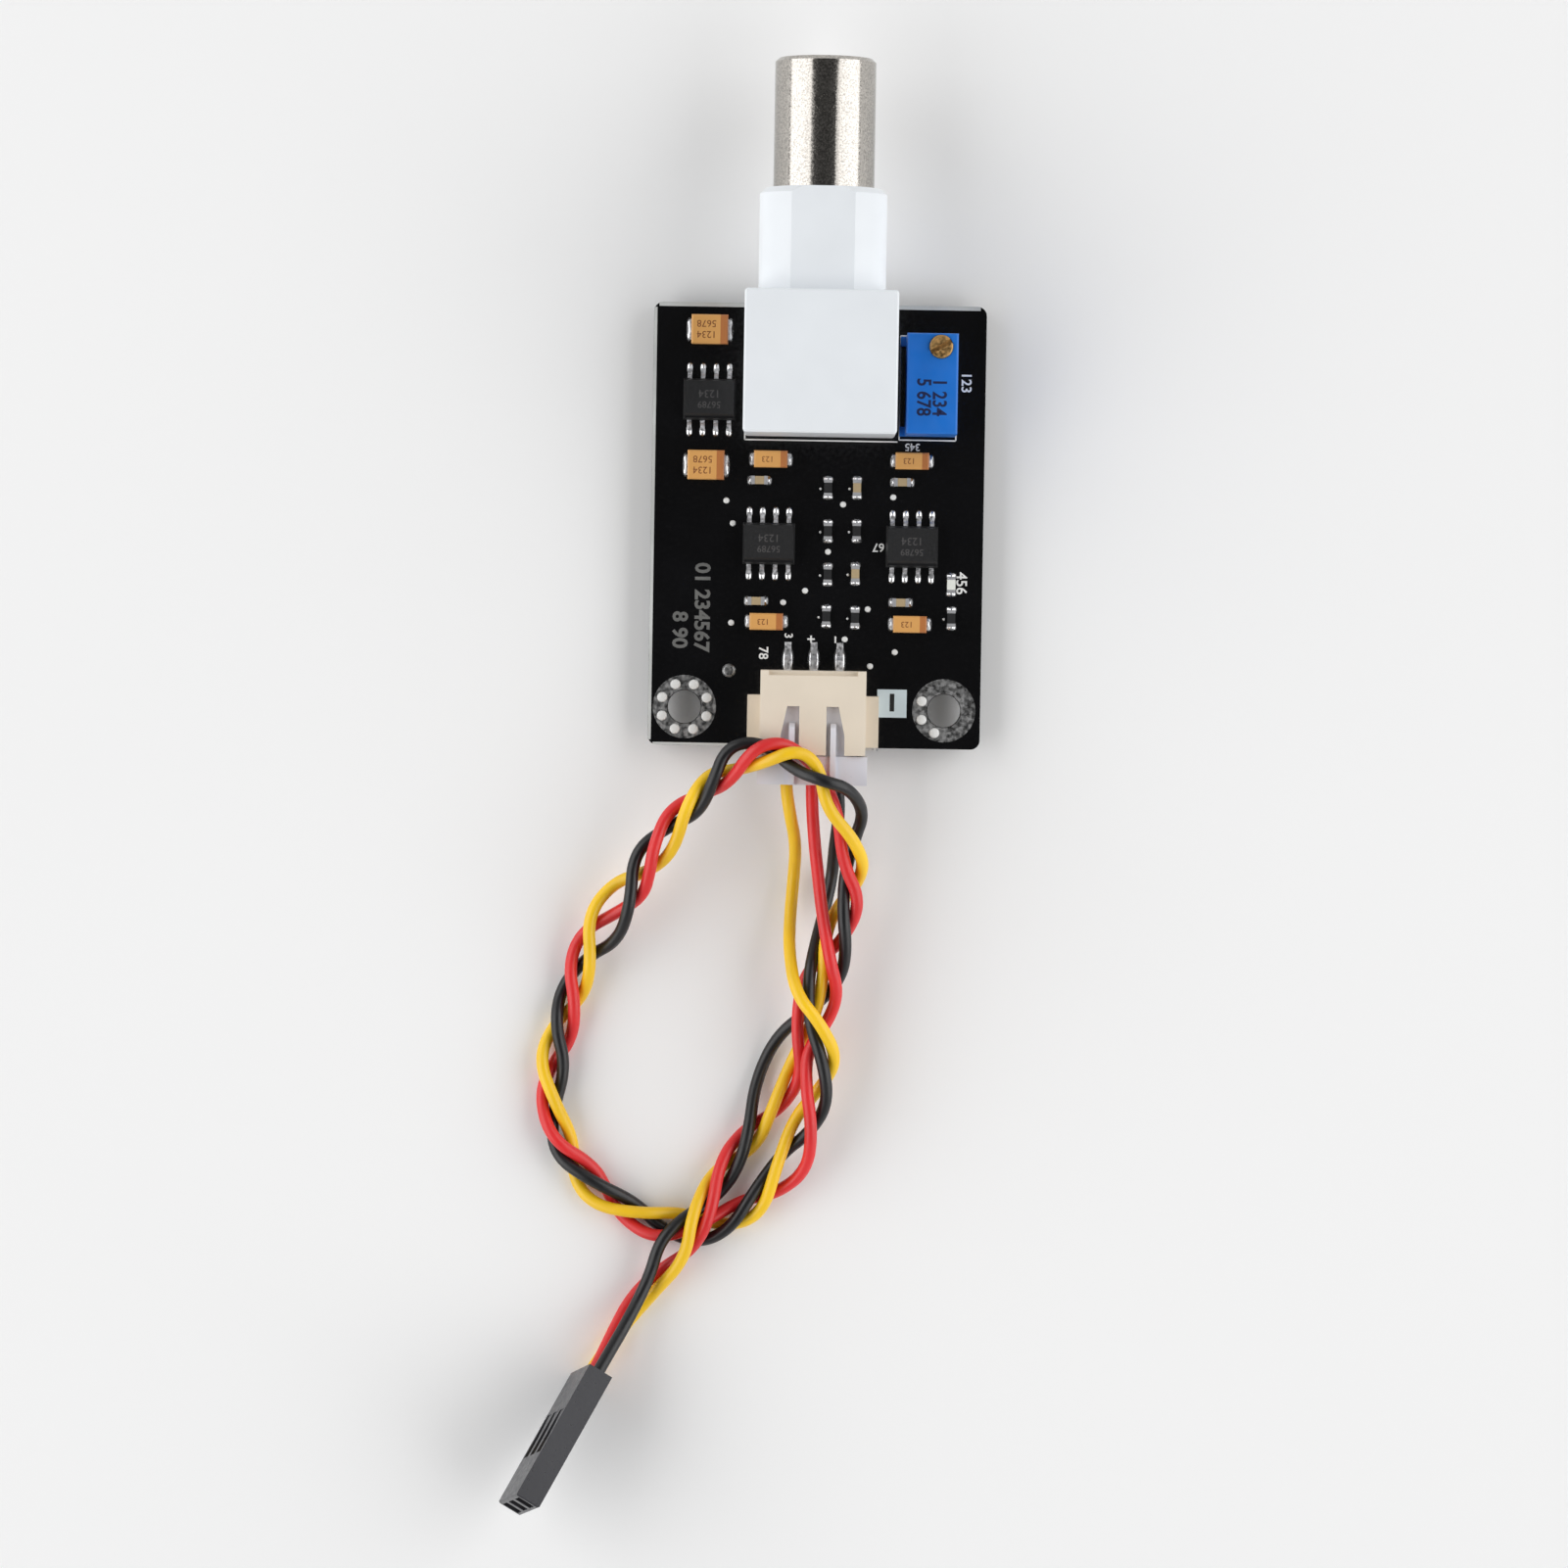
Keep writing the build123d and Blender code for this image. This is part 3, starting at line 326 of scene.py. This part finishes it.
dress(SOCKET_WHITE, "bnc_housing")
dress(NICKEL, "bnc_barrel", "bnc_ground_contact")
dress(INSULATOR, "bnc_insulator")
dress(GOLD, "bnc_center_contact", "plug_contacts", "jumper_contacts")
dress(TIN, "bnc_mounting_posts", "trimmer_pins", "header_pins", "header_solder_tabs")
dress(BLUE, "trimmer_case")
dress(TRIMMER_BASE, "trimmer_base")
dress(CERAMIC, "trimmer_element")
dress(BRASS, "trimmer_screw", "trimmer_wiper")
dress(SEAL, "trimmer_seal")
dress(ROTOR, "trimmer_rotor")
dress(HEADER, "header_housing")
dress(PLUG, "plug_housing")
dress(JUMPER, "jumper_housing")
dress(SOLDER, "solder_joints")
for chip in ("supply_chip", "left_amplifier", "right_amplifier"):
    dress(CHIP_BLACK, chip + "_body")
    dress(TIN, chip + "_leads")


def tantalum_material():
    """Orange-tan moulding with a darker stripe over the marked end."""
    made, tree, principled = shader("tantalum", srgb(216, 160, 92), 0.38)
    tan = srgb(216, 160, 92)
    band = srgb(178, 112, 62)
    tree.links.new(by_length(tree, "X", [(0.0, tan), (0.79, band)]), principled.inputs["Base Color"])
    bump(tree, principled, noise(tree, 4000, 4), 0.01)
    return made


TANTALUM = tantalum_material()
for n in range(1, 7):
    dress(TANTALUM, f"tantalum_capacitor_{n}_body")
    dress(TIN, f"tantalum_capacitor_{n}_terminals")
CAPACITOR_X = fired("capacitor_along_x", "X", srgb(172, 152, 118), (0.72, 0.72, 0.74, 1), 0.22)
CAPACITOR_Y = fired("capacitor_along_y", "Y", srgb(172, 152, 118), (0.72, 0.72, 0.74, 1), 0.22)
RESISTOR = fired("resistor", "Y", (0.012, 0.012, 0.013, 1), (0.72, 0.72, 0.74, 1), 0.19)
LAMP = fired("lamp", "Y", srgb(226, 228, 220), (0.72, 0.72, 0.74, 1), 0.2)
dress(CAPACITOR_X, *[f"ceramic_capacitor_{n}" for n in range(1, 5)])
dress(CAPACITOR_Y, *[f"ceramic_capacitor_{n}" for n in range(5, 7)])
dress(RESISTOR, *[f"resistor_{n}" for n in range(1, 8)])
dress(LAMP, "power_led")


def board_material():
    """Glossy black solder mask on both faces, with the cut glass-fibre edge dark brown."""
    tree = BOARD.node_tree
    principled = tree.nodes["Principled BSDF"]
    geometry = node(tree, "ShaderNodeNewGeometry")
    split = node(tree, "ShaderNodeSeparateXYZ")
    tree.links.new(geometry.outputs["Normal"], split.inputs["Vector"])
    flat = node(tree, "ShaderNodeMath", operation="ABSOLUTE")
    tree.links.new(split.outputs["Z"], flat.inputs[0])
    edge = ramp(tree, noise(tree, 1800, 4), [(0.35, srgb(58, 52, 40)), (0.65, srgb(96, 88, 66))])
    mix = node(tree, "ShaderNodeMix", data_type="RGBA")
    tree.links.new(flat.outputs[0], mix.inputs["Factor"])
    tree.links.new(edge, mix.inputs["A"])
    mask = principled.inputs["Base Color"].links[0].from_socket
    tree.links.new(mask, mix.inputs["B"])
    tree.links.new(mix.outputs["Result"], principled.inputs["Base Color"])


dress(BOARD, "circuit_board")


# Small pieces on the board
def mesh_piece(name, material, build):
    """A new piece on the board, made by a function that fills an empty mesh."""
    shape = bmesh.new()
    build(shape)
    data = bpy.data.meshes.new(name)
    shape.to_mesh(data)
    shape.free()
    data.materials.append(material)
    piece = bpy.data.objects.new(name, data)
    bpy.context.scene.collection.objects.link(piece)
    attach(piece, MAIN)


def add_mound(shape, place, half_x, half_y, height, sides=14, rings=4, fillet=1.0, corner=2.6):
    """A drop of solder or ink: a rounded footprint that rises to its middle, hollow or full in profile."""
    rows = []
    for ring in range(rings):
        share = 1 - ring / rings
        lift = height * (1 - share**2) ** fillet
        row = []
        for n in range(sides):
            angle = 2 * math.pi * n / sides
            c, s = math.cos(angle), math.sin(angle)
            x = math.copysign(abs(c) ** (2 / corner), c) * half_x * share * MM
            y = math.copysign(abs(s) ** (2 / corner), s) * half_y * share * MM
            row.append(shape.verts.new(place + Vector((x, y, lift * MM))))
        rows.append(row)
    top = shape.verts.new(place + Vector((0, 0, height * MM)))
    for low, high in zip(rows, rows[1:]):
        for n in range(sides):
            m = (n + 1) % sides
            shape.faces.new((low[n], low[m], high[m], high[n])).smooth = True
    for n in range(sides):
        shape.faces.new((rows[-1][n], rows[-1][(n + 1) % sides], top)).smooth = True
    shape.faces.new(list(reversed(rows[0])))


def add_strip(shape, x0, y0, x1, y1, width, low, high):
    """A flat track from one place on the board to another."""
    a, b = on_board(x0, y0), on_board(x1, y1)
    along = (b - a).normalized()
    side = Vector((-along.y, along.x, 0)) * width / 2 * MM
    lower, upper = Vector((0, 0, low * MM)), Vector((0, 0, high * MM))
    corners = [a + side, b + side, b - side, a - side]
    bottom = [shape.verts.new(c + lower) for c in corners]
    top = [shape.verts.new(c + upper) for c in corners]
    shape.faces.new(list(reversed(top)))
    shape.faces.new(bottom)
    for n in range(4):
        m = (n + 1) % 4
        shape.faces.new((bottom[m], bottom[n], top[n], top[m]))


def add_ring(shape, place, inner, outer, height, sides=48):
    """A flat washer of plating."""
    rows = []
    for radius, lift in ((inner, 0), (inner, height), (outer, height), (outer, 0)):
        row = []
        for n in range(sides):
            angle = 2 * math.pi * n / sides
            spot = Vector((radius * math.cos(angle), radius * math.sin(angle), lift)) * MM
            row.append(shape.verts.new(place + spot))
        rows.append(row)
    for a, b in zip(rows, rows[1:] + rows[:1]):
        for n in range(sides):
            m = (n + 1) % sides
            shape.faces.new((a[n], b[n], b[m], a[m]))


# Places of the small parts, from the middle of the board
CHIPS = [(-10.55, 11.97), (-4.61, -1.78), (9.16, -1.88)]
CERAMICS_X = [(-5.61, 4.31), (-5.75, -7.31), (8.13, 4.32), (8.17, -7.25)]
CERAMICS_Y = [(3.79, 3.72), (3.76, -4.55)]
RESISTORS = [
    (1.0, 3.68), (1.05, -0.49), (3.82, -0.44), (1.1, -4.66), (1.03, -8.69), (3.8, -8.78), (13.07, -8.69),
]
LAMP_PLACE = (13.01, -5.45)
LARGE_CASE = 3.5
TANTALUMS = [
    (-10.6, 18.68, LARGE_CASE, 2.0), (-10.77, 5.68, LARGE_CASE, 2.0),
    (-4.55, 6.34, 3.2, 1.1), (-4.73, -9.28, 3.2, 1.1),
    (9.04, 6.37, 3.2, 1.1), (9.08, -9.32, 3.2, 1.1),
]
HEADER_PINS = [(-2.6, -13.05), (-0.1, -13.05), (2.4, -13.05)]
HOLE_X, HOLE_Y = 12.5, -17.6
LEAD_PLACES = (-1.5, -0.5, 0.5, 1.5)
LEAD_PITCH = 1.27
LEAD_TOE = 3.0
FIRED_TOE = 0.86
TRIMMER_TOP = 10.03
CHIP_TOP = 1.6


def solder_fillets(shape):
    """Solder at every lead, terminal and header pin on the upper face."""
    for x, y in CHIPS:
        for side in (-1, 1):
            for n in LEAD_PLACES:
                toe = on_board(x + n * LEAD_PITCH, y + side * LEAD_TOE)
                add_mound(shape, toe, 0.3, 0.55, 0.17, fillet=1.6)
    for x, y in CERAMICS_X:
        for side in (-1, 1):
            add_mound(shape, on_board(x + side * FIRED_TOE, y), 0.34, 0.5, 0.42, fillet=1.8)
    for x, y in CERAMICS_Y + RESISTORS + [LAMP_PLACE]:
        for side in (-1, 1):
            add_mound(shape, on_board(x, y + side * FIRED_TOE), 0.5, 0.34, 0.36, fillet=1.8)
    for x, y, length, width in TANTALUMS:
        for side in (-1, 1):
            toe = on_board(x + side * (length / 2 + 0.2), y)
            add_mound(shape, toe, 0.32, width / 2 + 0.15, 0.4, fillet=1.8)
    for x, y in HEADER_PINS:
        add_mound(shape, on_board(x, y), 0.58, 1.4, 0.4, fillet=0.7)


mesh_piece("solder_fillets", SOLDER, solder_fillets)


LUG_FROM_TIP = 4.3
LUG_RIM = 0.75
LUG_ROUND = 0.24
LUG_SIDES = 36
LUG_STEPS = 6


def lug_crowns(shape):
    """Rounded rims on the two bayonet lugs, each round a small dimple."""
    low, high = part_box("bnc_barrel")
    middle = (low + high) / 2
    for side in (-1, 1):
        lift = high.z - 0.0002 if side > 0 else low.z + 0.0002
        centre = Vector((middle.x, high.y - LUG_FROM_TIP * MM, lift))
        rows = []
        for step in range(LUG_STEPS + 1):
            angle = math.pi * step / LUG_STEPS
            radius = (LUG_RIM + LUG_ROUND * math.cos(angle)) * MM
            up = 0.19 * math.sin(angle) * MM * side
            row = []
            for n in range(LUG_SIDES):
                turn = 2 * math.pi * n / LUG_SIDES
                spot = Vector((radius * math.cos(turn), radius * math.sin(turn), up))
                row.append(shape.verts.new(centre + spot))
            rows.append(row)
        for a, b in zip(rows, rows[1:]):
            for n in range(LUG_SIDES):
                m = (n + 1) % LUG_SIDES
                shape.faces.new((a[n], a[m], b[m], b[n])).smooth = True


# The lug rims are the same nickel plating as the barrel, given a lighter colour as a painted highlight so
# that the rims look bright all round.
LUG = metal("lug_nickel", (0.72, 0.69, 0.65, 1), 0.4, grain=6000, spread=0.2, height=0.001)
mesh_piece("lug_crowns", LUG, lug_crowns)


PAD_THICKNESS = 0.03
DOT_CIRCLE = 2.32


def pads(shape):
    """Bare plating round the two mounting holes."""
    for side in (-1, 1):
        add_ring(shape, on_board(side * HOLE_X, HOLE_Y), 1.66, 3.05, PAD_THICKNESS)


PAD_GREY = metal("pad_plating", (0.42, 0.42, 0.42, 1), 0.38, grain=2600, spread=0.45, height=0.02)
mesh_piece("mounting_pads", PAD_GREY, pads)


def pad_dots(shape):
    """Drops of solder on the plating: eight at the left hole, three at the right one."""
    for side in (-1, 1):
        for n in range(8):
            angle = math.radians(22.5 + 45 * n)
            x = side * HOLE_X + DOT_CIRCLE * math.cos(angle)
            y = HOLE_Y + DOT_CIRCLE * math.sin(angle)
            if side < 0 or 2 < n < 6:
                place = on_board(x, y, PAD_THICKNESS)
                add_mound(shape, place, 0.5, 0.5, 0.09, corner=2, sides=16)


DOT_WHITE = moulded("dot_white", srgb(226, 226, 224), 0.35, grain=4000, height=0.006)
mesh_piece("mounting_pad_dots", DOT_WHITE, pad_dots)

VIAS = [
    (-8.77, 2.31), (-8.11, 0.13), (-1.05, -6.25), (-3.15, -7.41), (-8.12, -9.44), (1.09, -2.47),
    (2.47, 2.10),
    (7.28, 2.87), (5.01, -7.94), (2.84, -10.87), (7.68, -12.03), (5.32, -13.42),
]


def vias(shape):
    """Filled holes between the board's faces."""
    for x, y in VIAS:
        add_mound(shape, on_board(x, y), 0.3, 0.3, 0.05, corner=2, sides=12, rings=3)


mesh_piece("via_fills", DOT_WHITE, vias)


def test_point(shape):
    add_mound(shape, on_board(-8.27, -14.05), 0.65, 0.65, 0.06, corner=2, sides=24, rings=3, fillet=0.4)


mesh_piece("test_point", PAD_GREY, test_point)


# Printed marks: outlines, digits in counting order, and the plus and minus signs at the cable header
INK_THICKNESS = 0.012


def add_text(shape, words, place, size, turn=0.0, bold=0.0, width=1.0):
    """Digits as a thin solid layer of ink."""
    curve = bpy.data.curves.new("mark", "FONT")
    curve.body = words
    curve.size = size * MM
    curve.align_x = "CENTER"
    curve.align_y = "CENTER"
    curve.extrude = INK_THICKNESS / 2 * MM
    curve.offset = bold * MM
    curve.resolution_u = 3
    holder = bpy.data.objects.new("mark", curve)
    mesh = bpy.data.meshes.new_from_object(holder)
    narrow = Matrix.Diagonal((width, 1, 1, 1))
    mesh.transform(Matrix.Translation(place) @ Matrix.Rotation(turn, 4, "Z") @ narrow)
    shape.from_mesh(mesh)
    bpy.data.objects.remove(holder)
    bpy.data.meshes.remove(mesh)


LINE_LOW, LINE_HIGH = 0.0, 0.014


def outline(shape, x0, y0, x1, y1, width=0.13):
    """A printed rectangle."""
    corners = [(x0, y0), (x1, y0), (x1, y1), (x0, y1), (x0, y0)]
    for (a, b), (c, d) in zip(corners, corners[1:]):
        add_strip(shape, a, b, c, d, width, LINE_LOW, LINE_HIGH)


QUARTER = math.pi / 2
INK_LIFT = 0.007


def board_marks(shape):
    """White outlines, numbers, signs and a dot beside each resistor and each capacitor that lies along Y.
    """
    outline(shape, 7.75, 8.39, 13.2, 18.4)
    add_strip(shape, -7.1, 8.2, 7.6, 8.2, 0.13, LINE_LOW, LINE_HIGH)
    add_strip(shape, -7.1, 8.2, -7.1, 9.2, 0.13, LINE_LOW, LINE_HIGH)
    add_strip(shape, -0.75, -10.9, -0.05, -10.9, 0.16, LINE_LOW, LINE_HIGH)
    add_strip(shape, -0.4, -11.25, -0.4, -10.98, 0.16, LINE_LOW, LINE_HIGH)
    add_strip(shape, -0.4, -10.82, -0.4, -10.55, 0.16, LINE_LOW, LINE_HIGH)
    add_strip(shape, 1.95, -11.25, 1.95, -10.6, 0.16, LINE_LOW, LINE_HIGH)
    for x, y in RESISTORS + CERAMICS_Y:
        add_mound(shape, on_board(x - 0.72, y - 0.1), 0.13, 0.13, 0.02, corner=2, sides=10, rings=2)
    add_text(shape, "123", on_board(14.1, 14.0, INK_LIFT), 1.35, -QUARTER, bold=0.02)
    add_text(shape, "456", on_board(13.95, -5.3, INK_LIFT), 1.45, -QUARTER, bold=0.02)
    add_text(shape, "3", on_board(-2.6, -10.6, INK_LIFT), 1.1, -QUARTER, bold=0.02)
    add_text(shape, "78", on_board(-5.0, -12.3, INK_LIFT), 1.25, -QUARTER, bold=0.02)
    add_text(shape, "345", on_board(9.05, 7.75, INK_LIFT), 1.0, math.pi, bold=0.02)
    add_text(shape, "67", on_board(5.95, -1.95, INK_LIFT), 1.15, math.pi, bold=0.02)


mesh_piece("board_marks", SILK_WHITE, board_marks)


def grey_marks(shape):
    """Two lines of faint numbers down the left side."""
    add_text(shape, "01 234567", on_board(-11.0, -8.0, INK_LIFT), 2.0, -QUARTER, bold=0.06)
    add_text(shape, "8 90", on_board(-13.1, -10.2, INK_LIFT), 2.0, -QUARTER, bold=0.06)


FAINT_INK = moulded("faint_ink", srgb(96, 96, 94), 0.6, grain=6000, spread=0.3, height=0.002)
mesh_piece("faint_board_marks", FAINT_INK, grey_marks)


def rim(shape):
    """The narrow bare edge that the mask leaves along the left, the top and part of the bottom."""
    w, l = 16.0, 21.3
    add_strip(shape, -w + 0.16, -l + 0.5, -w + 0.16, l - 0.5, 0.3, 0.0, 0.008)
    add_strip(shape, -w + 0.5, l - 0.2, w - 0.6, l - 0.2, 0.38, 0.0, 0.008)
    add_strip(shape, -w + 0.5, -l + 0.14, 3.0, -l + 0.1, 0.24, 0.0, 0.008)


BARE_EDGE = moulded("bare_edge", srgb(196, 198, 196), 0.55, grain=3000, spread=0.15)
mesh_piece("bare_rim", BARE_EDGE, rim)


TILE_PAPER = moulded("tile_paper", srgb(206, 220, 226), 0.6, grain=6000, height=0.001)


TILE_X, TILE_Y = 7.49, -16.98


def tile(shape):
    add_strip(shape, TILE_X - 1.42, TILE_Y, TILE_X + 1.42, TILE_Y, 2.7, 0.0, 0.016)


mesh_piece("number_tile", TILE_PAPER, tile)
INK_BLACK = moulded("ink_black", srgb(28, 28, 28), 0.5, grain=5000, height=0.001)


def number_on_tile(shape):
    add_text(shape, "1", on_board(7.5, TILE_Y, 0.02), 2.3, bold=0.07, width=1.2)


mesh_piece("number_on_tile", INK_BLACK, number_on_tile)


def trimmer_marks(shape):
    add_text(shape, "1 234", on_board(11.32, 12.2, TRIMMER_TOP), 1.85, -QUARTER, bold=0.04, width=0.85)
    add_text(shape, "5 678", on_board(9.83, 12.2, TRIMMER_TOP), 1.85, -QUARTER, bold=0.04, width=0.85)


INK_NAVY = moulded("ink_navy", srgb(14, 26, 70), 0.5, grain=5000, height=0.001)
mesh_piece("trimmer_marks", INK_NAVY, trimmer_marks)


def tantalum_marks(shape):
    for x, y, length, _ in TANTALUMS:
        if length == LARGE_CASE:
            add_text(shape, "1234", on_board(x - 0.3, y - 0.5, 1.9), 0.95, math.pi)
            add_text(shape, "5678", on_board(x - 0.3, y + 0.55, 1.9), 0.95, math.pi)
        else:
            add_text(shape, "123", on_board(x - 0.3, y, 1.6), 0.8, math.pi)


INK_BROWN = moulded("ink_brown", srgb(120, 66, 34), 0.5, grain=5000, height=0.001)
mesh_piece("tantalum_marks", INK_BROWN, tantalum_marks)


def chip_marks(shape):
    for x, y in CHIPS:
        add_text(shape, "1234", on_board(x, y + 0.55, CHIP_TOP), 1.05, math.pi)
        add_text(shape, "56789", on_board(x, y - 0.5, CHIP_TOP), 0.9, math.pi)


INK_FAINT = moulded("ink_faint", srgb(74, 72, 72), 0.5, grain=5000, height=0.001)
mesh_piece("chip_marks", INK_FAINT, chip_marks)


# Light and floor
def area_light(name, place, target, size_x, size_y, power):
    """A soft rectangular lamp with its long side along the board."""
    data = bpy.data.lights.new(name, "AREA")
    data.shape = "RECTANGLE"
    data.size = size_x
    data.size_y = size_y
    data.energy = power
    lamp = bpy.data.objects.new(name, data)
    bpy.context.scene.collection.objects.link(lamp)
    away = (Vector(place) - Vector(target)).normalized()
    along = Vector((0, 1, 0))
    across = along.cross(away).normalized()
    along = away.cross(across)
    turn = Matrix((across, along, away)).transposed().to_4x4()
    lamp.matrix_world = Matrix.Translation(Vector(place)) @ turn


AIM = (0.0, -0.03, 0.0)
LIGHT_POWER = 9.0
area_light("left_light", (-0.84, -0.03, 0.55), AIM, 1.0, 1.5, LIGHT_POWER)
area_light("right_light", (0.84, -0.03, 0.55), AIM, 1.0, 1.5, LIGHT_POWER)


def make_world():
    """A dim room that grows brighter towards the horizon."""
    world = bpy.data.worlds.new("room")
    bpy.context.scene.world = world
    world.use_nodes = True
    tree = world.node_tree
    background = tree.nodes["Background"]
    place = node(tree, "ShaderNodeTexCoord")
    split = node(tree, "ShaderNodeSeparateXYZ")
    tree.links.new(place.outputs["Generated"], split.inputs["Vector"])
    shade = ramp(tree, split.outputs["Z"], [(0.0, grey(0.75)), (0.6, grey(0.4)), (0.95, grey(0.07))])
    tree.links.new(shade, background.inputs["Color"])
    background.inputs["Strength"].default_value = 1.0


make_world()


def make_floor():
    """Plain pale paper under the part."""
    made, tree, principled = shader("floor_paper", (0.92, 0.92, 0.92, 1), 0.9)
    cloud = noise(tree, 8, 2)
    paper = ramp(tree, cloud, [(0.3, grey(0.915)), (0.7, grey(0.925))])
    tree.links.new(paper, principled.inputs["Base Color"])
    data = bpy.data.meshes.new("floor")
    shape = bmesh.new()
    half = 1.5
    corners = [(-half, -half), (half, -half), (half, half), (-half, half)]
    shape.faces.new([shape.verts.new((x, y, 0)) for x, y in corners])
    shape.to_mesh(data)
    shape.free()
    data.materials.append(made)
    floor = bpy.data.objects.new("floor", data)
    bpy.context.scene.collection.objects.link(floor)


make_floor()
board_material()

bpy.context.scene.view_settings.view_transform = "Standard"
